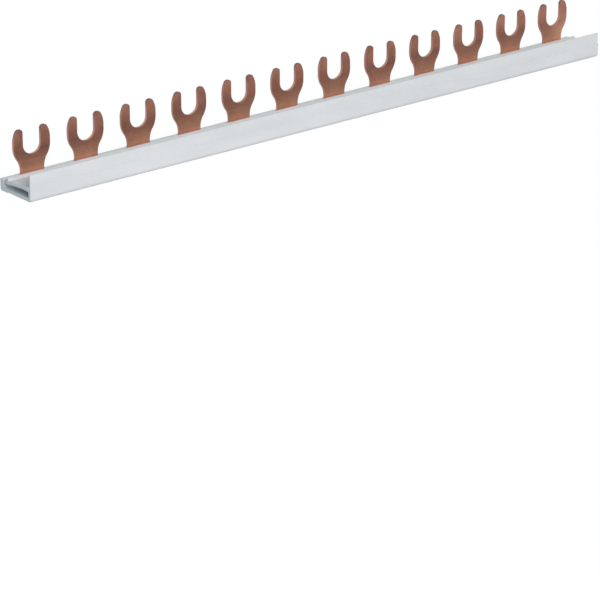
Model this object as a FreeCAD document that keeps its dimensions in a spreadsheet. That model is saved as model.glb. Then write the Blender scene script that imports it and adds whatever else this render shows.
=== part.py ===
import FreeCAD, Part
import math
import os

import Sketcher

# One-pole fork busbar for twelve modules: a stamped and bent copper comb in an extruded plastic profile.
# Origin under the middle of the length and depth, +X along the row of forks, front towards -Y, +Z up.
# Sketches measure across from the profile's front face and up from what it stands on, in millimetres.

doc = FreeCAD.newDocument("PhaseBusbar")
sheet = doc.addObject("Spreadsheet::Sheet", "sizes")

DRIVING_SIZES = [
    ("module_pitch", 17.8, "from one fork to the next"),
    ("fork_count", 12, "forks in the row"),
    ("end_overhang", 8.9, "profile beyond the middle of an end fork"),
    ("profile_depth", 13.8, "front face to back face"),
    ("front_height", 7.4, "top of the front wall"),
    ("front_wall", 0.7, "front wall above the band"),
    ("band_height", 3.9, "top of the thicker band along the front"),
    ("band_proud", 0.4, "how far the band stands out of the front wall"),
    ("band_slope", 0.3, "height of the sloping step over the band"),
    ("floor_wall", 0.9, "floor of the profile"),
    ("runner_height", 0.2, "back edge of the floor over the runner"),
    ("front_foot", 1.2, "width of the foot under the front wall"),
    ("back_runner", 3.2, "width of the runner under the slot"),
    ("runner_slope", 0.4, "width of the runner's sloping side"),
    ("web_wall", 0.8, "web over the cavity"),
    ("web_front_height", 3.1, "underside of the web at the front wall"),
    ("web_back_height", 2.55, "underside of the web at the slot"),
    ("lip_wall", 1.0, "lip along the front of the slot"),
    ("lip_height", 4.15, "top of the lip"),
    ("back_wall", 1.6, "wall behind the slot"),
    ("back_height", 3.45, "top of the back wall"),
    ("front_edge_radius", 0.5, "front bottom edge"),
    ("back_edge_radius", 0.7, "back bottom edge"),
    ("rim_radius", 0.2, "top edges of the walls and the lip"),
    ("web_radius", 0.5, "top of the web where it turns up into the lip"),
    ("cavity_radius", 0.6, "back corner of the cavity"),
    ("corner_radius", 0.3, "other inner corners of the profile"),
    ("comb_thickness", 0.8, "copper sheet"),
    ("slot_clearance", 0.2, "each side of the copper in the slot"),
    ("floor_clearance", 0.1, "under the copper strip"),
    ("strip_front_gap", 1.1, "front wall to the front edge of the strip"),
    ("strip_end_gap", 4.5, "end of the profile to the end of the strip"),
    ("bend_radius", 0.5, "inside of the bend"),
    ("relief_gap", 0.4, "back edge of the strip to the start of the bend"),
    ("fork_height", 11.9, "middle of the fork's round, over the base"),
    ("slot_width", 5.8, "between the fork's legs"),
    ("head_radius", 5.9, "outer rounds of the fork, and half its width"),
    ("head_drop", 0.55, "middle of the lower outer round under that of the slot's"),
    ("head_rise", 0.85, "middle of the upper outer round over that of the slot's"),
    ("tip_height", 4.45, "leg tips over the middle of the slot's round"),
    ("tip_outer_radius", 1.0, "outer corner of a leg's tip"),
    ("tip_inner_radius", 0.9, "inner corner of a leg's tip"),
    ("neck_width", 7.5, "neck of a fork"),
    ("neck_radius", 5.3, "hollow between the neck and the lower outer round"),
]

WORKED_OUT_SIZES = [
    ("row_length", "(fork_count - 1) * module_pitch", "first fork to last fork"),
    ("profile_length", "row_length + 2 * end_overhang", "whole profile"),
    ("strip_length", "profile_length - 2 * strip_end_gap", "whole strip"),
    ("inner_front", "band_proud + front_wall", "inner face of the front wall"),
    ("slot_back", "profile_depth - back_wall", "inner face of the back wall"),
    ("slot_front", "slot_back - comb_thickness - 2 * slot_clearance", "back face of the lip"),
    ("floor_height", "runner_height + floor_wall", "top of the floor"),
    ("strip_bottom", "floor_height + floor_clearance", "underside of the strip"),
    ("strip_top", "strip_bottom + comb_thickness", "upper face of the strip"),
    ("strip_front", "inner_front + strip_front_gap", "front edge of the strip"),
    ("blade_front", "slot_front + slot_clearance", "front face of a fork"),
    ("bend_start", "blade_front - bend_radius", "where the strip starts to bend"),
    ("bend_end", "strip_top + bend_radius", "where the fork stands straight"),
    ("strip_back", "bend_start - relief_gap", "back edge of the strip"),
]


def fill_sheet():
    row = 1
    for alias, value, note in DRIVING_SIZES:
        sheet.set(f"A{row}", note)
        sheet.set(f"B{row}", str(value))
        sheet.setAlias(f"B{row}", alias)
        row += 1
    for alias, formula, note in WORKED_OUT_SIZES:
        sheet.set(f"A{row}", note)
        sheet.set(f"B{row}", f"={formula}")
        sheet.setAlias(f"B{row}", alias)
        row += 1
    doc.recompute()


def size(formula):
    """Value of a formula whose words are the sheet's aliases."""
    return float(sheet.evalExpression(formula))


def bound(formula):
    """The same formula as other objects have to write it."""
    words = formula.replace("(", " ( ").replace(")", " ) ").split()
    aliases = {alias for alias, _, _ in DRIVING_SIZES + WORKED_OUT_SIZES}
    return " ".join(f"sizes.{word}" if word in aliases else word for word in words)


def new_body(label):
    body = doc.addObject("PartDesign::Body", label)
    body.Label = label
    body.setExpression("Placement.Base.y", bound("-1 * profile_depth / 2"))
    return body


def new_sketch(body, name, role):
    sketch = body.newObject("Sketcher::SketchObject", name)
    plane = next(item for item in body.Origin.OriginFeatures if item.Role == role)
    sketch.AttachmentSupport = [(plane, "")]
    sketch.MapMode = "FlatFace"
    return sketch


# Corners and dimensions of a sketch: the numbers by which a sketch knows its origin, axes and ends

ORIGIN, UP_AXIS = range(-1, -3, -1)
ACROSS_AXIS = ORIGIN
START, END, CENTRE = range(1, 4)


def set_dimension(sketch, kind, places, formula, name):
    """One driving dimension, bound to the sheet."""
    index = sketch.addConstraint(Sketcher.Constraint(kind, *places, size(formula)))
    sketch.renameConstraint(index, name)
    sketch.setExpression(f"Constraints.{name}", bound(formula))


def set_place(sketch, item, point, across, up, name):
    """A point's distances from the sketch's origin, or the axis that it lies on."""
    if across == "0":
        sketch.addConstraint(Sketcher.Constraint("PointOnObject", item, point, UP_AXIS))
    else:
        set_dimension(sketch, "DistanceX", (ORIGIN, 1, item, point), across, f"{name}_across")
    if up == "0":
        sketch.addConstraint(Sketcher.Constraint("PointOnObject", item, point, ACROSS_AXIS))
    else:
        set_dimension(sketch, "DistanceY", (ORIGIN, 1, item, point), up, f"{name}_up")


def draw_corners(sketch, corners):
    """A closed outline of straight lines through named corners, given as formulas."""
    places = [FreeCAD.Vector(size(across), size(up), 0) for _, across, up in corners]
    count = len(places)
    for item in range(count):
        sketch.addGeometry(Part.LineSegment(places[item], places[(item + 1) % count]), False)
    for item in range(count):
        sketch.addConstraint(Sketcher.Constraint("Coincident", item, END, (item + 1) % count, START))
    for item, (name, across, up) in enumerate(corners):
        set_place(sketch, item, START, across, up, name)


def new_pad(body, sketch, name, length, both_sides):
    pad = body.newObject("PartDesign::Pad", name)
    pad.Profile = sketch
    pad.SideType = "Symmetric" if both_sides else "One side"
    pad.setExpression("Length", bound(length))
    doc.recompute()
    return pad


def long_edges(shape, places):
    """Names of the edges that run along X through the given places, as across and up."""
    found = []
    for number, edge in enumerate(shape.Edges, 1):
        start = edge.Vertexes[0].Point
        end = edge.Vertexes[-1].Point
        if abs(start.x - end.x) < edge.Length - 1e-6:
            continue
        for across, up in places:
            if abs(start.y - size(across)) < 1e-4 and abs(start.z - size(up)) < 1e-4:
                found.append(f"Edge{number}")
    if len(found) != len(places):
        raise RuntimeError(f"{len(places)} edges wanted, {len(found)} found")
    return found


def round_edges(body, base, name, radius, places):
    edges = long_edges(base.Shape, places)
    fillet = body.newObject("PartDesign::Fillet", name)
    fillet.Base = (base, edges)
    fillet.setExpression("Radius", bound(radius))
    doc.recompute()
    return fillet


def make_profile():
    """Extruded profile: front wall, floor, web with its lip, and back wall, open at the top and the ends."""
    body = new_body("insulating_profile")
    section = new_sketch(body, "profile_section", "YZ_Plane")
    corners = [
        ("heel", "0", "0"),
        ("front_foot", "front_foot", "0"),
        ("back_runner_side", "profile_depth - back_runner - runner_slope", "runner_height"),
        ("back_runner", "profile_depth - back_runner", "0"),
        ("back_foot", "profile_depth", "0"),
        ("back_top", "profile_depth", "back_height"),
        ("slot_back_top", "slot_back", "back_height"),
        ("cavity_back", "slot_back", "floor_height"),
        ("cavity_front", "inner_front", "floor_height"),
        ("web_front", "inner_front", "web_front_height"),
        ("lip_foot", "slot_front", "web_back_height"),
        ("lip_back_top", "slot_front", "lip_height"),
        ("lip_front_top", "slot_front - lip_wall", "lip_height"),
        ("web_back_top", "slot_front - lip_wall", "web_back_height + web_wall"),
        ("web_front_top", "inner_front", "web_front_height + web_wall"),
        ("front_inner_top", "inner_front", "front_height"),
        ("front_top", "band_proud", "front_height"),
        ("band_step", "band_proud", "band_height + band_slope"),
        ("band_top", "0", "band_height"),
    ]
    draw_corners(section, corners)
    solid = new_pad(body, section, "profile_pad", "profile_length", True)
    place = {name: (across, up) for name, across, up in corners}
    rounds = [
        ("front_edge_round", "front_edge_radius", ["heel"]),
        ("back_edge_round", "back_edge_radius", ["back_foot"]),
        ("cavity_round", "cavity_radius", ["cavity_back"]),
        ("web_round", "web_radius", ["web_back_top"]),
        ("corner_round", "corner_radius", ["cavity_front", "web_front", "lip_foot", "web_front_top"]),
        ("rim_round", "rim_radius", ["back_top", "slot_back_top", "lip_back_top", "lip_front_top",
                                     "front_inner_top", "front_top"]),
    ]
    for name, radius, names in rounds:
        solid = round_edges(body, solid, name, radius, [place[item] for item in names])
    body.Tip = solid
    return body


def make_comb():
    """Copper comb: a flat strip along the cavity, and forks bent up from its back edge through the slot."""
    body = new_body("copper_comb")

    strip_sketch = new_sketch(body, "strip_section", "YZ_Plane")
    draw_corners(strip_sketch, [
        ("strip_front", "strip_front", "strip_bottom"),
        ("strip_back", "strip_back", "strip_bottom"),
        ("strip_back_top", "strip_back", "strip_top"),
        ("strip_front_top", "strip_front", "strip_top"),
    ])
    new_pad(body, strip_sketch, "strip", "strip_length", True)

    bend_sketch = new_sketch(body, "bend_section", "YZ_Plane")
    bend_sketch.setExpression("AttachmentOffset.Base.z", bound("-1 * row_length / 2"))
    draw_bend(bend_sketch)
    bend = new_pad(body, bend_sketch, "bend", "neck_width", True)

    fork_sketch = new_sketch(body, "fork_outline", "XZ_Plane")
    fork_sketch.setExpression("AttachmentOffset.Base.x", bound("-1 * row_length / 2"))
    fork_sketch.setExpression("AttachmentOffset.Base.y", bound("fork_height"))
    fork_sketch.setExpression("AttachmentOffset.Base.z", bound("-1 * blade_front"))
    draw_fork(fork_sketch)
    fork = new_pad(body, fork_sketch, "fork", "comb_thickness", False)
    fork.Reversed = True
    doc.recompute()

    row = body.newObject("PartDesign::LinearPattern", "fork_row")
    row.Originals = [bend, fork]
    along = next(item for item in body.Origin.OriginFeatures if item.Role == "X_Axis")
    row.Direction = (along, [""])
    row.setExpression("Length", bound("row_length"))
    row.setExpression("Occurrences", bound("fork_count"))
    body.Tip = row
    doc.recompute()
    return body


def arc(middle, radius, first, last):
    """An arc that runs anticlockwise from one angle to the other, in degrees."""
    circle = Part.Circle(middle, FreeCAD.Vector(0, 0, 1), radius)
    return Part.ArcOfCircle(circle, math.radians(first), math.radians(last))


def draw_bend(sketch):
    """The strip's back edge, curved up through a right angle into the forks."""
    start = size("bend_start")
    end = size("bend_end")
    back = size("strip_back")
    inside = size("bend_radius")
    outside = size("bend_radius + comb_thickness")
    middle = FreeCAD.Vector(start, end, 0)

    def place(across, up):
        return FreeCAD.Vector(across, up, 0)

    def line(first, last):
        return sketch.addGeometry(Part.LineSegment(place(*first), place(*last)), False)

    lower = line((back, end - outside), (start, end - outside))
    outer = sketch.addGeometry(arc(middle, outside, 270, 360), False)
    top = line((start + outside, end), (start + inside, end))
    inner = sketch.addGeometry(arc(middle, inside, 270, 360), False)
    upper = line((start, end - inside), (back, end - inside))
    edge = line((back, end - inside), (back, end - outside))
    for constraint in (
        ("Tangent", lower, END, outer, START),
        ("Coincident", outer, END, top, START),
        ("Coincident", top, END, inner, END),
        ("Tangent", inner, START, upper, START),
        ("Coincident", upper, END, edge, START),
        ("Coincident", edge, END, lower, START),
        ("Coincident", outer, CENTRE, inner, CENTRE),
        ("Horizontal", lower),
        ("Horizontal", top),
        ("Horizontal", upper),
        ("Vertical", edge),
        ("PointOnObject", inner, CENTRE, top),
    ):
        sketch.addConstraint(Sketcher.Constraint(*constraint))
    set_place(sketch, outer, CENTRE, "bend_start", "bend_end", "bend_middle")
    set_dimension(sketch, "DistanceX", (ORIGIN, 1, edge, START), "strip_back", "strip_back")
    set_dimension(sketch, "Radius", (inner,), "bend_radius", "bend_inside")
    set_dimension(sketch, "Radius", (outer,), "bend_radius + comb_thickness", "bend_outside")


def draw_fork(sketch):
    """Fork about the middle of its slot's round; each side is straight between two outer rounds."""
    slot = size("slot_width / 2")
    head = size("head_radius")
    drop = size("head_drop")
    rise = size("head_rise")
    tip = size("tip_height")
    tip_outer = size("tip_outer_radius")
    tip_inner = size("tip_inner_radius")
    neck = size("neck_width / 2")
    hollow = size("neck_radius")
    bottom = size("bend_end - fork_height")

    # Middles of the hollow and of the tip's outer corner, each tangent to an outer round
    hollow_across = neck + hollow
    hollow_up = -drop - math.sqrt((head + hollow) ** 2 - hollow_across ** 2)
    corner_up = tip - tip_outer
    corner_across = math.sqrt((head - tip_outer) ** 2 - (corner_up - rise) ** 2)
    hollow_turn = math.degrees(math.atan2(hollow_up + drop, hollow_across))
    corner_turn = math.degrees(math.atan2(corner_up - rise, corner_across))

    sides = []
    for side in (1, -1):
        def place(across, up):
            return FreeCAD.Vector(side * across, up, 0)

        def turned(first, last):
            return (first, last) if side == 1 else (180 - last, 180 - first)

        items = [
            Part.LineSegment(place(neck, bottom), place(neck, hollow_up)),
            arc(place(hollow_across, hollow_up), hollow, *turned(180 + hollow_turn, 180)),
            arc(place(0, -drop), head, *turned(hollow_turn, 0)),
            Part.LineSegment(place(head, -drop), place(head, rise)),
            arc(place(0, rise), head, *turned(0, corner_turn)),
            arc(place(corner_across, corner_up), tip_outer, *turned(corner_turn, 90)),
            Part.LineSegment(place(corner_across, tip), place(slot + tip_inner, tip)),
            arc(place(slot + tip_inner, tip - tip_inner), tip_inner, *turned(90, 180)),
            Part.LineSegment(place(slot, tip - tip_inner), place(slot, 0)),
        ]
        sides.append([sketch.addGeometry(item, False) for item in items])
    round_end = sketch.addGeometry(arc(FreeCAD.Vector(0, 0, 0), slot, 180, 360), False)
    foot = sketch.addGeometry(
        Part.LineSegment(FreeCAD.Vector(-neck, bottom, 0), FreeCAD.Vector(neck, bottom, 0)), False)

    for side, items in zip((1, -1), sides):
        flank, hollow_arc, lower, straight, upper, corner, tip_line, inner, leg = items
        # On the left every arc runs the other way, so its ends change places
        near, far = (START, END) if side == 1 else (END, START)
        for constraint in (
            ("Coincident", flank, START, foot, END if side == 1 else START),
            ("Tangent", flank, END, hollow_arc, far),
            ("Tangent", hollow_arc, near, lower, near),
            ("Tangent", lower, far, straight, START),
            ("Tangent", straight, END, upper, near),
            ("Tangent", upper, far, corner, near),
            ("Tangent", corner, far, tip_line, START),
            ("Tangent", tip_line, END, inner, near),
            ("Tangent", inner, far, leg, START),
            ("Tangent", leg, END, round_end, END if side == 1 else START),
            ("Vertical", flank),
            ("Vertical", straight),
            ("Horizontal", tip_line),
            ("Vertical", leg),
        ):
            sketch.addConstraint(Sketcher.Constraint(*constraint))
        word = "right" if side == 1 else "left"
        set_place(sketch, lower, CENTRE, "0", "-1 * head_drop", f"{word}_lower_round")
        set_place(sketch, upper, CENTRE, "0", "head_rise", f"{word}_upper_round")
        set_dimension(sketch, "DistanceY", (ORIGIN, 1, tip_line, START), "tip_height", f"{word}_tip")
    sketch.addConstraint(Sketcher.Constraint("Symmetric", foot, START, foot, END, UP_AXIS))
    sketch.addConstraint(Sketcher.Constraint("Coincident", round_end, CENTRE, ORIGIN, 1))
    right_side, left_side = sides
    # Hollow, upper round and the tip's two corners; the lower round gets its radius from the straight side
    rounds = {"hollow": 1, "upper_round": 4, "tip_outer": 5, "tip_inner": 7}
    for item in rounds.values():
        sketch.addConstraint(Sketcher.Constraint("Equal", right_side[item], left_side[item]))
    set_dimension(sketch, "DistanceX", (foot, START, foot, END), "neck_width", "neck")
    set_dimension(sketch, "DistanceY", (ORIGIN, 1, foot, START), "bend_end - fork_height", "foot")
    set_dimension(sketch, "Radius", (round_end,), "slot_width / 2", "slot_round")
    for word, formula in (
        ("hollow", "neck_radius"),
        ("upper_round", "head_radius"),
        ("tip_outer", "tip_outer_radius"),
        ("tip_inner", "tip_inner_radius"),
    ):
        set_dimension(sketch, "Radius", (right_side[rounds[word]],), formula, word)


def check_document():
    """No object of the document may have failed."""
    for item in doc.Objects:
        if "Invalid" in item.State or "Error" in item.State:
            raise RuntimeError(f"{item.Name} did not build: {item.State}")


fill_sheet()
bodies = [make_profile(), make_comb()]
check_document()
os.makedirs("parts", exist_ok=True)
for body in bodies:
    if body.Shape.isNull() or not body.Shape.isValid() or len(body.Shape.Solids) != 1:
        raise RuntimeError(f"{body.Label} is not one valid solid")
    body.Shape.exportStep(f"parts/{body.Label}.step")
    box = body.Shape.BoundBox
    spans = f"{box.XLength:.2f} x {box.YLength:.2f} x {box.ZLength:.2f} mm"
    print(f"{body.Label}: {body.Shape.Volume:.1f} mm3, {spans}")
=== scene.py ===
import math

import bpy
import numpy as np
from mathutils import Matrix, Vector


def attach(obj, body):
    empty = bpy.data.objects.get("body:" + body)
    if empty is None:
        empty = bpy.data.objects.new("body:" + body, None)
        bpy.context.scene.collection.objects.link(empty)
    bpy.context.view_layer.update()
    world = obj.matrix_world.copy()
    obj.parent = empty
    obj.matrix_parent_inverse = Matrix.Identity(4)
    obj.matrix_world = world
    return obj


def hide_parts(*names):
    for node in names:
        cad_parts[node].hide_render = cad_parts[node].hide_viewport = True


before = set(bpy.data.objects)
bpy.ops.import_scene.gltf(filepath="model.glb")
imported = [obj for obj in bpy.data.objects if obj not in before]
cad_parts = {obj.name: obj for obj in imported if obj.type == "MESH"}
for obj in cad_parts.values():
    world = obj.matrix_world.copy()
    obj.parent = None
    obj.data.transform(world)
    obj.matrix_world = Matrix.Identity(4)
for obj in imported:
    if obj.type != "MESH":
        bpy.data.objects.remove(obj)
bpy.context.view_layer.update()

# One-pole fork busbar: a stamped copper comb in an extruded light grey profile.
# Lengths in the two pieces' dictionaries are millimetres, and all that Blender gets is metres.

milli = 0.001
quarter = math.pi / 2  # a quarter turn
white = (1.0, 1.0, 1.0)


# The camera and the lamps

view = {
    "place": (-0.507995, -0.589611, 0.244071),  # metres
    "aim": (-0.018113, -0.011944, -0.048002),
    "lens": 169.79,  # millimetres, as is the sensor's width
    "sensor": 36.0,
    "near": 0.01,
    "far": 50.0,
}

light = {
    "lampAim": (0.0, 0.0, 0.0),
    "lamps": [  # name, place, width and height in metres, watts, colour
        ("keySoftbox", (-0.365, -1.362, 0.757), 1.0, 0.8, 14.8, (1.0, 0.965, 0.95)),
        ("backSoftbox", (0.0, 1.35, 0.30), 0.9, 0.45, 5.0, (0.90, 0.97, 1.0)),
    ],
    "world": 0.45,  # strength of the soft light from all round
    "worldTint": (0.75, 0.91, 1.0),
    "floorSide": 6.0,
    "floorDrop": 0.0001,
    "floorShade": (0.90, 0.90, 0.91),
    "shadowShare": 0.10,  # how much of the floor's own shading shows on the white
    "floorGlow": 1.05,  # makes up for that share, so that the open floor is white
}


def placeAimed(thing, place, aim):
    thing.location = place
    thing.rotation_euler = (Vector(aim) - Vector(place)).to_track_quat("-Z", "Y").to_euler()
    bpy.context.scene.collection.objects.link(thing)


def makeCamera():
    lensData = bpy.data.cameras.new("studioCamera")
    lensData.sensor_fit = "HORIZONTAL"
    lensData.sensor_width = view["sensor"]
    lensData.lens = view["lens"]
    lensData.clip_start = view["near"]
    lensData.clip_end = view["far"]
    camera = bpy.data.objects.new("studioCamera", lensData)
    placeAimed(camera, view["place"], view["aim"])
    bpy.context.scene.camera = camera


def makeLights():
    for name, place, width, height, watts, colour in light["lamps"]:
        lamp = bpy.data.lights.new(name, "AREA")
        lamp.shape = "RECTANGLE"
        lamp.size = width
        lamp.size_y = height
        lamp.energy = watts
        lamp.color = colour
        placeAimed(bpy.data.objects.new(name, lamp), place, light["lampAim"])


# Shader maths: a wrapped socket that takes plain operators

class Wire:
    def __init__(self, tree, socket):
        self.tree = tree
        self.socket = socket

    def maths(self, operation, *values):
        node = self.tree.nodes.new("ShaderNodeMath")
        node.operation = operation
        for slot, value in zip(node.inputs, values):
            fill(self.tree, slot, value)
        return Wire(self.tree, node.outputs[0])

    def __add__(self, other):
        return self.maths("ADD", self, other)

    def __sub__(self, other):
        return self.maths("SUBTRACT", self, other)

    def __rsub__(self, other):
        return self.maths("SUBTRACT", other, self)

    def __mul__(self, other):
        return self.maths("MULTIPLY", self, other)

    __radd__ = __add__
    __rmul__ = __mul__

    def atMost(self, limit):
        return self.maths("MINIMUM", self, limit)


def fill(tree, slot, value):
    # a wire is linked, anything else is set
    if isinstance(value, Wire):
        tree.links.new(value.socket, slot)
    elif slot.type == "RGBA":
        slot.default_value = (*value[:3], 1.0)
    else:
        slot.default_value = value


class Finish:
    # the nodes of one material, or of the world
    def __init__(self, owner):
        self.owner = owner
        owner.use_nodes = True
        self.tree = owner.node_tree
        self.tree.nodes.clear()

    def node(self, kind, settings=None, sockets=None, output=0):
        # settings come first, then the value or link of each socket, by name or number
        made = self.tree.nodes.new(kind)
        for key, value in (settings or {}).items():
            setattr(made, key, value)
        for key, value in (sockets or {}).items():
            fill(self.tree, made.inputs[key], value)
        return Wire(self.tree, made.outputs[output]) if made.outputs else None

    def place(self):
        return self.node("ShaderNodeTexCoord", output="Object")

    def height(self):
        return self.node("ShaderNodeSeparateXYZ", sockets={"Vector": self.place()}, output="Z")

    def noise(self, cycles, detail, roughness, shift=(0.0, 0.0, 0.0)):
        # the object's own coordinates, each axis scaled by itself, in cycles per metre
        scaled = {"Vector": self.place(), "Scale": cycles, "Location": shift}
        where = self.node("ShaderNodeMapping", sockets=scaled)
        sockets = {"Vector": where, "Scale": 1.0, "Detail": detail, "Roughness": roughness}
        return self.node("ShaderNodeTexNoise", {"noise_dimensions": "3D"}, sockets, "Fac")

    def spread(self, value, low, high, start=0.0, end=1.0):
        # value from low to high carried to start to end, and held there
        sockets = {"Value": value, "From Min": low, "From Max": high,
                   "To Min": start, "To Max": end}
        return self.node("ShaderNodeMapRange", {"clamp": True}, sockets)

    def blend(self, share, first, second):
        # a Mix node set to colours: its share is socket 0, its colours are 6 and 7, its result is 2
        return self.node("ShaderNodeMix", {"data_type": "RGBA"}, {0: share, 6: first, 7: second}, 2)

    def attribute(self, name):
        return self.node("ShaderNodeAttribute", {"attribute_name": name}, output="Fac")

    def bump(self, height, depth, strength):
        sockets = {"Height": height, "Distance": depth, "Strength": strength}
        return self.node("ShaderNodeBump", sockets=sockets)

    def surface(self, sockets):
        shader = self.node("ShaderNodeBsdfPrincipled", sockets=sockets)
        self.node("ShaderNodeOutputMaterial", sockets={"Surface": shader})


def linear(red, green, blue):
    # a colour as read from a screen, 0 to 255, made linear by the usual screen curve
    shades = np.array([red, green, blue]) / 255.0
    curved = ((shades + 0.055) / 1.055) ** 2.4
    return tuple(np.where(shades <= 0.04045, shades / 12.92, curved).tolist())


# The world and the floor

def seenDirectly(finish):
    # 1 for what the camera sees, also by reflection or through glass
    path = "ShaderNodeLightPath"
    seen = finish.node(path, output="Is Camera Ray") + finish.node(path, output="Is Glossy Ray")
    seen = seen + finish.node(path, output="Is Transmission Ray")
    return seen.atMost(1.0)


def makeWorld():
    world = bpy.data.worlds.new("studioWorld")
    bpy.context.scene.world = world
    finish = Finish(world)
    seen = seenDirectly(finish)
    strength = seen * (1.0 - light["world"]) + light["world"]
    colour = finish.blend(seen, light["worldTint"], white)
    glow = {"Color": colour, "Strength": strength}
    background = finish.node("ShaderNodeBackground", sockets=glow)
    finish.node("ShaderNodeOutputWorld", sockets={"Surface": background})


def makeFloor():
    half = light["floorSide"] / 2.0
    drop = -light["floorDrop"]
    floorMesh = bpy.data.meshes.new("studioFloor")
    corners = [(-half, -half, drop), (half, -half, drop), (half, half, drop), (-half, half, drop)]
    floorMesh.from_pydata(corners, [], [(0, 1, 2, 3)])
    floor = bpy.data.objects.new("studioFloor", floorMesh)
    bpy.context.scene.collection.objects.link(floor)
    finish = Finish(bpy.data.materials.new("paleFloor"))
    pale = finish.node("ShaderNodeBsdfDiffuse", sockets={"Color": light["floorShade"]})
    glow = {"Color": white, "Strength": light["floorGlow"]}
    shining = finish.node("ShaderNodeEmission", sockets=glow)
    share = seenDirectly(finish) * (1.0 - light["shadowShare"])
    mixed = finish.node("ShaderNodeMixShader", sockets={0: share, 1: pale, 2: shining})
    finish.node("ShaderNodeOutputMaterial", sockets={"Surface": mixed})
    floorMesh.materials.append(finish.owner)


# Outlines in the plane, as arrays of points, and the meshes made from them

def unit(vectors):
    return vectors / np.linalg.norm(vectors, axis=1, keepdims=True)


def crossed(first, second):
    # positive where the second vector turns to the left of the first
    return first[:, 0] * second[:, 1] - first[:, 1] * second[:, 0]


def arcPoints(middle, radius, first, last, points):
    # middle + radius * (cos, sin) of the angles from first to last
    angle = np.linspace(first, last, points)
    return np.asarray(middle) + radius * np.stack([np.cos(angle), np.sin(angle)], axis=1)


def roundedOutline(corners, radii, points):
    # Each corner is replaced by an arc tangent to its two sides. With turn the signed angle between
    # the sides, the arc starts radius * tan(turn / 2) before the corner, its middle lies one radius
    # to the side that the outline turns to, and its points are the start carried round that middle
    # by shares of the turn.
    before = unit(corners - np.roll(corners, 1, axis=0))
    after = unit(np.roll(corners, -1, axis=0) - corners)
    turn = np.arctan2(crossed(before, after), (before * after).sum(1))
    start = corners - before * (radii * np.abs(np.tan(turn / 2)))[:, None]
    left = np.stack([-before[:, 1], before[:, 0]], axis=1)
    middle = start + left * (np.sign(turn) * radii)[:, None]
    angle = turn[:, None] * np.linspace(0.0, 1.0, points)
    across, up = (start - middle).T[:, :, None]
    turned = np.stack([
        across * np.cos(angle) - up * np.sin(angle),
        across * np.sin(angle) + up * np.cos(angle),
    ], axis=2)
    return (middle[:, None, :] + turned).reshape(-1, 2)


def withoutDoubles(outline, least=1e-6):
    step = np.linalg.norm(outline - np.roll(outline, 1, axis=0), axis=1)
    return outline[step > least]


def outwardNormals(outline, leastCosine=-0.5):
    # The miter at a point: the sum of its two sides' outward normals, divided by one plus their
    # cosine, so that an offset by one unit keeps both sides one unit away. The least cosine keeps
    # the miter of a hairpin short.
    side = unit(np.roll(outline, -1, axis=0) - outline)
    normal = np.stack([side[:, 1], -side[:, 0]], axis=1)
    last = np.roll(normal, 1, axis=0)
    cosine = (normal * last).sum(1, keepdims=True)
    return (normal + last) / (1.0 + np.maximum(cosine, leastCosine))


def ringQuads(rings, count):
    # Quads between neighbouring rings of points. Point i of ring r has the index r * count + i, and
    # the last point of a ring is followed by its first.
    ring, item = np.meshgrid(np.arange(rings - 1), np.arange(count), indexing="ij")
    here = ring * count + item
    following = ring * count + (item + 1) % count
    return np.stack([here, here + count, following + count, following], axis=-1).reshape(-1, 4)


def meshPiece(name, points, faces):
    # quads are shaded smooth, and the large flat faces aren't
    mesh = bpy.data.meshes.new(name)
    mesh.from_pydata((points.reshape(-1, 3) * milli).tolist(), [], faces)
    mesh.polygons.foreach_set("use_smooth", [len(face) == 4 for face in faces])
    mesh.update()
    piece = bpy.data.objects.new(name, mesh)
    bpy.context.scene.collection.objects.link(piece)
    return piece


def mark(piece, name, domain, values):
    # one number per face or point, which a material reads by name
    made = piece.data.attributes.new(name, "FLOAT", domain)
    made.data.foreach_set("value", np.asarray(values, dtype=np.float32))


# The insulating profile

profile = {
    "length": 213.6,
    "depth": 13.8,
    "cutEdge": 0.07,  # broken edge round the saw cut
    "cutRows": 4,
    "arcSteps": 9,
    "facet": 0.15,  # sides of the outline shorter than this belong to a rounding
    "wallShort": 0.35,  # at the left end the saw has cut the front wall short over its band
    "shortUp": (3.9, 4.2),  # not yet at the first height, all of it at the second
    "shortAcross": 1.5,  # nothing behind this is short
    "footRound": 1.2,  # worn corner under the front wall at the right end
    "footFade": (1.5, 4.0),  # it fades out from here to there, towards the back
    # painted shade inside: all of it at the first number of a pair, none at the second
    "cavityUp": (1.85, 3.45),
    "cavityAcross": (3.0, 8.0),
    "cavityBack": 0.4,  # but this share is left at the back
    "cavityFloor": 1.0,  # the cavity is above this
    "cavityEnd": 12.3,  # and in front of this
    "channelUp": (4.5, 6.5),
    "channelAcross": (4.5, 8.5),
    "channelFloor": 3.2,  # the channel over the web is above this
    "wallInside": 0.6,  # no painted shade in front of this
    # across from the front face, up, radius of the corner
    "section": [
        (0.0, 0.0, 0.5), (1.2, 0.0, 0.3), (10.2, 0.2, 0.12), (10.6, 0.0, 0.12), (13.8, 0.0, 0.7),
        (13.8, 3.45, 0.2), (12.2, 3.45, 0.2), (12.2, 1.1, 0.6), (0.85, 1.1, 0.3),
        (0.85, 2.7, 0.3), (3.2, 2.92, 1.5), (8.8, 2.62, 1.5), (10.0, 2.38, 1.0), (11.0, 2.38, 0.3),
        (11.0, 4.15, 0.2), (10.0, 4.15, 0.4), (10.0, 3.35, 0.35),
        (0.85, 3.9, 0.3), (0.85, 7.4, 0.2), (0.4, 7.4, 0.2), (0.4, 4.2, 0.08), (0.0, 3.9, 0.08),
    ],
}


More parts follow.
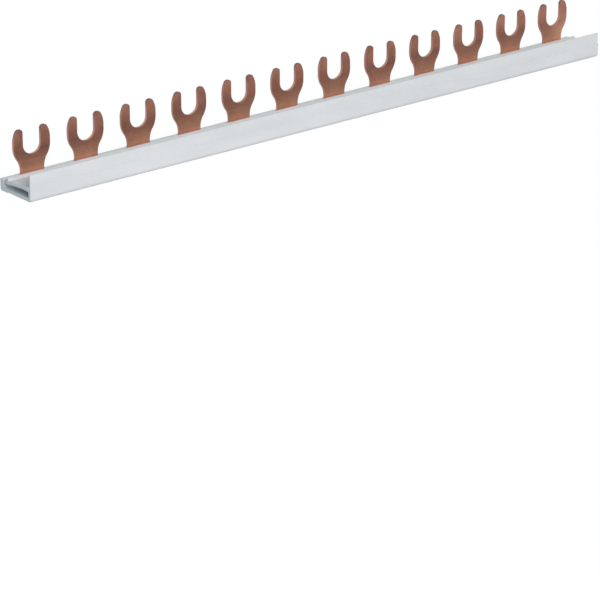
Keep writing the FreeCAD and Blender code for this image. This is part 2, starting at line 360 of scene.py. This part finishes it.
def paintedShadeShares(across, up):
    # Shares of painted shade. In the cavity it deepens with depth and towards the front wall. Over
    # the web the painted shade fades from the front wall towards the lip, and up the wall's inner
    # face.
    falling = (1.0, 0.0)
    cavity = np.interp(up, profile["cavityUp"], falling)
    cavity = cavity * np.interp(across, profile["cavityAcross"], (1.0, profile["cavityBack"]))
    cavity = cavity * ((across < profile["cavityEnd"]) & (up > profile["cavityFloor"]))
    channel = np.interp(up, profile["channelUp"], falling) * (up >= profile["channelFloor"])
    channel = channel * np.interp(across, profile["channelAcross"], falling)
    return np.maximum(cavity, channel) * (across > profile["wallInside"])


def makeProfile():
    # The section is carried along X. With turn from 0 at the cut to 90 degrees, the outline is
    # drawn in by cutEdge * (1 - sin(turn)) at cutEdge * (1 - cos(turn)) from the end, which
    # breaks the cut's edge with a quarter round.
    section = np.array(profile["section"])
    rounded = roundedOutline(section[:, :2], section[:, 2], profile["arcSteps"])
    outline = withoutDoubles(rounded)
    across, up = outline.T
    turn = np.linspace(0.0, quarter, profile["cutRows"])
    inset = profile["cutEdge"] * (1.0 - np.sin(turn))
    reach = profile["length"] / 2 - profile["cutEdge"] * (1.0 - np.cos(turn))
    stations = np.concatenate([-reach, reach[::-1]])[:, None]
    insets = np.concatenate([inset, inset[::-1]])[:, None, None]
    rings = outline - insets * outwardNormals(outline)

    leftShort = profile["wallShort"] * np.interp(up, profile["shortUp"], (0.0, 1.0))
    leftShort = leftShort * (across < profile["shortAcross"])
    # the worn corner is a quarter round of radius r: where the height z is under r, X draws in by
    # r - sqrt(r * r - (r - z) ** 2)
    foot = profile["footRound"]
    under = np.clip(foot - up, 0.0, foot)
    rightShort = foot - np.sqrt(foot * foot - under * under)
    rightShort = rightShort * np.interp(across, profile["footFade"], (1.0, 0.0))

    rows = len(stations)
    count = len(outline)
    points = np.empty((rows, count, 3))
    points[..., 0] = stations + (stations < 0.0) * leftShort - (stations > 0.0) * rightShort
    points[..., 1] = rings[..., 0] - profile["depth"] / 2
    points[..., 2] = rings[..., 1]
    # the outline runs anticlockwise seen from +X, so the quads are turned to face out
    sides = ringQuads(rows, count)[:, ::-1]
    leftCap = list(range(count))[::-1]
    rightCap = list(range((rows - 1) * count, rows * count))
    piece = meshPiece("insulatingProfile", points, sides.tolist() + [leftCap, rightCap])

    # all bands of quads but the long one in the middle belong to the cuts, and so do the two caps
    nearEnd = np.repeat(np.arange(rows - 1) != profile["cutRows"] - 1, count)
    mark(piece, "sawCut", "FACE", np.append(nearEnd, [True, True]))
    # the facets of the outer roundings: short sides of the outline where it turns left
    side = np.roll(outline, -1, axis=0) - outline
    turnsLeft = crossed(np.roll(side, 1, axis=0), side) > 0.0
    facets = turnsLeft & (np.linalg.norm(side, axis=1) < profile["facet"])
    mark(piece, "rounding", "FACE", np.append(np.tile(facets, rows - 1), [False, False]))
    # painted shade in the cavity and over the web, one share per point
    mark(piece, "paintedInsideShade", "POINT", np.tile(paintedShadeShares(across, up), rows))
    return piece


# The copper comb

comb = {
    "forks": 12,
    "pitch": 17.8,
    "thickness": 0.8,
    "stripHalf": 102.3,
    "stripFront": -4.7,
    "stripBack": 3.4,
    "bendAcross": 3.8,  # middle of the bend
    "bendUp": 2.5,
    "bendMiddle": 0.9,  # radius of the sheet's middle surface
    "forkUp": 11.9,
    "slotHalf": 2.9,
    "headRadius": 5.9,
    "headDrop": 0.55,
    "headRise": 0.85,
    "tipUp": 4.45,
    "tipOuter": 1.0,
    "tipInner": 0.9,
    "neckHalf": 3.75,
    "neckRadius": 5.3,
    "rootRadius": 0.35,  # between the strip's back edge and a neck
    "cornerRadius": 0.4,  # corners of the strip
    "rollOver": (0.05, 0.07),  # how far in and down the punch draws the front edge
    "burr": (0.02, 0.02),  # how far in and up the back edge is turned
    "rollRim": 0.5,  # how much the first row of the rim looks sheared
    # points or steps of each arc
    "rollRows": 6,
    "burrRows": 4,
    "bendSteps": 12,
    "cornerPoints": 7,
    "rootPoints": 7,
    "hollowPoints": 14,
    "headPoints": 18,
    "outerPoints": 10,
    "innerPoints": 8,
    "slotPoints": 22,
}

# across the flat sheet: where a bend ends, and the middle of a fork's slot
bendEnd = comb["bendAcross"] + comb["bendMiddle"] * quarter
flatFork = bendEnd + comb["forkUp"] - comb["bendUp"]


def forkOutline():
    # One fork in the flat sheet, from its right root round to its left root. Each side is straight
    # between two outer rounds. The hollow's middle lies neckRadius beside the neck and headRadius +
    # neckRadius from the lower round's middle; the middle of the tip's outer corner lies headRadius
    # - tipOuter from the upper one's. The left side mirrors the right one.
    head = comb["headRadius"]
    neck = comb["neckHalf"]
    hollow = comb["neckRadius"]
    root = comb["rootRadius"]
    outer = comb["tipOuter"]
    inner = comb["tipInner"]
    slot = comb["slotHalf"]
    lower = flatFork - comb["headDrop"]
    upper = flatFork + comb["headRise"]
    tip = flatFork + comb["tipUp"]
    hollowAcross = neck + hollow
    hollowUp = lower - math.sqrt((head + hollow) ** 2 - hollowAcross ** 2)
    hollowMiddle = (hollowAcross, hollowUp)
    hollowTurn = math.atan2(hollowUp - lower, hollowAcross)
    outerUp = tip - outer
    outerAcross = math.sqrt((head - outer) ** 2 - (outerUp - upper) ** 2)
    outerTurn = math.atan2(outerUp - upper, outerAcross)
    rootMiddle = (neck + root, comb["stripBack"] + root)
    bend = np.linspace(comb["bendAcross"], bendEnd, comb["bendSteps"] + 1)
    right = np.concatenate([
        arcPoints(rootMiddle, root, -quarter, -math.pi, comb["rootPoints"]),
        np.stack([np.full(len(bend), neck), bend], axis=1),
        arcPoints(hollowMiddle, hollow, math.pi, math.pi + hollowTurn, comb["hollowPoints"]),
        arcPoints((0.0, lower), head, hollowTurn, 0.0, comb["headPoints"])[1:],
        arcPoints((0.0, upper), head, 0.0, outerTurn, comb["headPoints"]),
        arcPoints((outerAcross, outerUp), outer, outerTurn, quarter, comb["outerPoints"])[1:],
        arcPoints((slot + inner, tip - inner), inner, quarter, math.pi, comb["innerPoints"]),
        arcPoints((0.0, flatFork), slot, 0.0, -quarter, comb["slotPoints"]),
    ])
    left = right[-2::-1] * np.array([-1.0, 1.0])
    return np.concatenate([right, left])


def bentPlaces(flat, height):
    # The sheet is bent about a line along X. With v the distance across the flat sheet, w the
    # height over its middle and r the bend's middle radius, turn = (v - bendAcross) / r, held
    # between 0 and 90 degrees, and rest = v - bendAcross - r * turn. Then
    # Y = bendAcross + (r - w) * sin(turn) + rest * cos(turn) and
    # Z = bendUp - (r - w) * cos(turn) + rest * sin(turn).
    radius = comb["bendMiddle"]
    beyond = flat[..., 1] - comb["bendAcross"]
    turn = np.clip(beyond / radius, 0.0, quarter)
    rest = beyond - radius * turn
    arm = radius - height
    return np.stack([
        flat[..., 0],
        comb["bendAcross"] + arm * np.sin(turn) + rest * np.cos(turn),
        comb["bendUp"] - arm * np.cos(turn) + rest * np.sin(turn),
    ], axis=-1)


def makeComb():
    # The blank's outline is drawn in row by row while the height goes from the front face to the
    # back one: a quarter ellipse of roll-over, the sheared wall, the burr's round. Then it is bent.
    fork = forkOutline()
    size = len(fork)
    forks = comb["forks"]
    # forks from right to left, as the outline runs anticlockwise
    places = (np.arange(forks)[::-1] - (forks - 1) / 2) * comb["pitch"]
    row = fork + np.stack([places, np.zeros(forks)], axis=1)[:, None, :]
    radius = comb["cornerRadius"]
    turns = comb["cornerPoints"]
    side = comb["stripHalf"] - radius
    low = comb["stripFront"] + radius
    high = comb["stripBack"] - radius
    before = np.concatenate([
        arcPoints((-side, low), radius, 2 * quarter, 3 * quarter, turns),
        arcPoints((side, low), radius, -quarter, 0.0, turns),
        arcPoints((side, high), radius, 0.0, quarter, turns),
    ])
    after = arcPoints((-side, high), radius, quarter, 2 * quarter, turns)
    outline = np.concatenate([before, row.reshape(-1, 2), after])

    rollIn, rollDown = comb["rollOver"]
    burrIn, burrUp = comb["burr"]
    halfSheet = comb["thickness"] / 2
    roll = np.linspace(0.0, quarter, comb["rollRows"])
    burr = np.linspace(quarter, 0.0, comb["burrRows"])
    inset = np.concatenate([rollIn * (1.0 - np.sin(roll)), burrIn * (1.0 - np.sin(burr))])
    rolled = halfSheet - rollDown * (1.0 - np.cos(roll))
    burred = burrUp * (1.0 - np.cos(burr)) - halfSheet
    height = np.concatenate([rolled, burred])[:, None]
    flat = outline - inset[:, None, None] * outwardNormals(outline)
    points = bentPlaces(flat, height)

    # each fork's own indices in the outline: its roots, the two edges of its bend and its blade
    rows = len(inset)
    count = len(outline)
    root = comb["rootPoints"]
    first = len(before) + size * np.arange(forks)[:, None]
    bend = root + np.arange(comb["bendSteps"] + 1)
    right = first + bend
    left = first + size - 1 - bend
    bends = np.stack([right[:, :-1], right[:, 1:], left[:, 1:], left[:, :-1]], axis=-1)
    bends = bends.reshape(-1, 4)
    blades = first + np.arange(bend[-1], size - bend[-1])
    feet = first + np.concatenate([np.arange(root + 1), np.arange(size - root - 1, size)])
    lastCorner = np.arange(count - len(after), count)
    strip = np.concatenate([np.arange(len(before)), feet.ravel(), lastCorner])

    rim = ringQuads(rows, count)
    faces = rim.tolist()
    fronts = [bends, blades, strip[None, :]]
    for group in fronts:
        faces += group.tolist()
    for group in fronts:  # the back faces are the same ones turned over, in the last row of points
        faces += (group[:, ::-1] + (rows - 1) * count).tolist()
    piece = meshPiece("forkComb", points, faces)
    sheared = np.zeros(len(faces))
    sheared[:len(rim)] = 1.0
    sheared[:count] = comb["rollRim"]
    mark(piece, "shearedEdge", "FACE", sheared)
    return piece


# Finishes. A range is where a noise or a height starts to show and where it shows in full. A noise
# is its cycles per metre along each axis, its detail, its roughness and its shift.

plastic = {
    "skin": linear(225, 224, 223),
    "shade": linear(218, 217, 216),
    "cloud": ((40.0, 160.0, 160.0), 4.0, 0.55),
    "cloudRange": (0.35, 0.65),
    "worn": linear(229, 232, 235),  # rubbed edges
    "scuff": ((420.0, 1500.0, 1500.0), 3.0, 0.65, (7.0, 2.0, 5.0)),
    "scuffRange": (0.46, 0.60),
    "wornShare": 0.4,
    "inner": linear(178, 188, 193),  # painted shade down inside the cavity and over the web
    "paintedFootShade": linear(186, 193, 200),  # painted shade along the foot
    "paintedFootShadeUp": (0.0003, 0.0010),  # metres; it ends at the second height
    "paintedFootShadeShare": 0.75,
    "cut": linear(212, 216, 218),
    "cutDark": linear(198, 202, 204),
    "saw": ((300.0, 5200.0, 260.0), 3.0, 0.6),  # tooth marks across the cut
    "sawRange": (0.3, 0.7),
    "drawn": ((9.0, 5200.0, 5200.0), 2.0, 0.5),  # die lines, long along X and very fine across it
    "drawnRange": (0.3, 0.7),
    "grain": ((2600.0, 2600.0, 2600.0), 3.0, 0.6),
    "rough": (0.37, 0.49),
    "wornRough": 0.2,  # on top of that
    "cutRough": 0.7,
    "refraction": 1.53,
    "drawnRelief": 0.6,
    "grainRelief": 0.25,
    "sawRelief": 2.2,
    "wornRelief": 0.5,
    "bump": (0.00002, 0.5),  # depth in metres, strength
}


def makePlastic():
    finish = Finish(bpy.data.materials.new("greyExtrusion"))
    cut = finish.attribute("sawCut")
    saw = finish.noise(*plastic["saw"])
    drawn = finish.noise(*plastic["drawn"])
    clouded = finish.spread(finish.noise(*plastic["cloud"]), *plastic["cloudRange"])
    scuffed = finish.spread(finish.noise(*plastic["scuff"]), *plastic["scuffRange"])
    worn = finish.attribute("rounding") * scuffed
    # painted shade: darker towards the foot, fading out by the second height
    footShade = finish.spread(finish.height(), *plastic["paintedFootShadeUp"], plastic["paintedFootShadeShare"], 0.0)
    skin = finish.blend(clouded, plastic["skin"], plastic["shade"])
    skin = finish.blend(worn * plastic["wornShare"], skin, plastic["worn"])
    # painted shade inside the profile
    skin = finish.blend(finish.attribute("paintedInsideShade"), skin, plastic["inner"])
    skin = finish.blend(footShade, skin, plastic["paintedFootShade"])
    toothed = finish.spread(saw, *plastic["sawRange"])
    sawn = finish.blend(toothed, plastic["cut"], plastic["cutDark"])
    colour = finish.blend(cut, skin, sawn)
    rough = finish.spread(drawn, *plastic["drawnRange"], *plastic["rough"])
    rough = rough + worn * plastic["wornRough"]
    rough = rough * (1.0 - cut) + cut * plastic["cutRough"]
    height = drawn * (1.0 - cut) * plastic["drawnRelief"]
    height = height + finish.noise(*plastic["grain"]) * plastic["grainRelief"]
    height = height + saw * cut * plastic["sawRelief"] - worn * plastic["wornRelief"]
    normal = finish.bump(height, *plastic["bump"])
    finish.surface({"Base Color": colour, "Roughness": rough, "Normal": normal,
                    "IOR": plastic["refraction"]})
    return finish.owner


copper = {
    "bright": linear(172, 121, 103),
    "dull": linear(146, 101, 87),
    "neckReflectionBright": linear(231, 169, 139),  # painted reflection: lighter towards the profile
    "neckReflectionDull": linear(208, 151, 124),
    "neckReflectionUp": (0.0048, 0.0100),  # metres; it gives way to the head's shades from the first height
    "cloud": ((160.0, 160.0, 160.0), 5.0, 0.6),
    "cloudRange": (0.36, 0.66),
    "fleck": linear(126, 81, 67),
    "speck": ((1900.0, 1900.0, 1900.0), 4.0, 0.65, (3.0, 1.0, 2.0)),
    "speckRange": (0.52, 0.72),
    "speckShare": 0.4,
    "edge": linear(169, 129, 115),
    "edgeShare": 0.85,  # how much of the rim shows the edge's own shade
    "tip": linear(104, 79, 77),  # painted shade on the leg tips' rims
    "tipUp": (0.0138, 0.0162),
    "rolled": ((60.0, 3800.0, 3800.0), 3.0, 0.6),  # rolling lines along the strip
    "rolledRange": (0.3, 0.7),
    "rough": (0.34, 0.5),
    "dullRough": 0.08,  # on top of that
    "speckRelief": 0.5,
    "bump": (0.00002, 0.5),
}


def makeCopper():
    finish = Finish(bpy.data.materials.new("rolledCopper"))
    edge = finish.attribute("shearedEdge")
    rolled = finish.noise(*copper["rolled"])
    speck = finish.noise(*copper["speck"])
    tarnish = finish.spread(finish.noise(*copper["cloud"]), *copper["cloudRange"])
    up = finish.height()
    head = finish.blend(tarnish, copper["bright"], copper["dull"])
    neck = finish.blend(tarnish, copper["neckReflectionBright"], copper["neckReflectionDull"])
    # painted reflection: lighter low down by the profile, darker higher up
    face = finish.blend(finish.spread(up, *copper["neckReflectionUp"]), neck, head)
    specks = finish.spread(speck, *copper["speckRange"], 0.0, copper["speckShare"])
    face = finish.blend(specks, face, copper["fleck"])
    # painted shade on the rims towards the leg tips
    rim = finish.blend(finish.spread(up, *copper["tipUp"]), copper["edge"], copper["tip"])
    colour = finish.blend(edge * copper["edgeShare"], face, rim)
    rough = finish.spread(rolled, *copper["rolledRange"], *copper["rough"])
    rough = rough + tarnish * copper["dullRough"]
    height = rolled * (1.0 - edge) + speck * copper["speckRelief"]
    normal = finish.bump(height, *copper["bump"])
    finish.surface({"Base Color": colour, "Metallic": 1.0, "Roughness": rough, "Normal": normal})
    return finish.owner


makeCamera()
makeLights()
makeWorld()
makeFloor()
print("studio: camera, lights and floor are in place")

profilePiece = makeProfile()
profilePiece.data.materials.append(makePlastic())
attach(profilePiece, "root")
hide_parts("insulating_profile")
print("profile:", len(profilePiece.data.polygons), "faces")

combPiece = makeComb()
combPiece.data.materials.append(makeCopper())
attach(combPiece, "root")
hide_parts("copper_comb")
print("comb:", len(combPiece.data.polygons), "faces")

bpy.context.scene.view_settings.view_transform = "Standard"
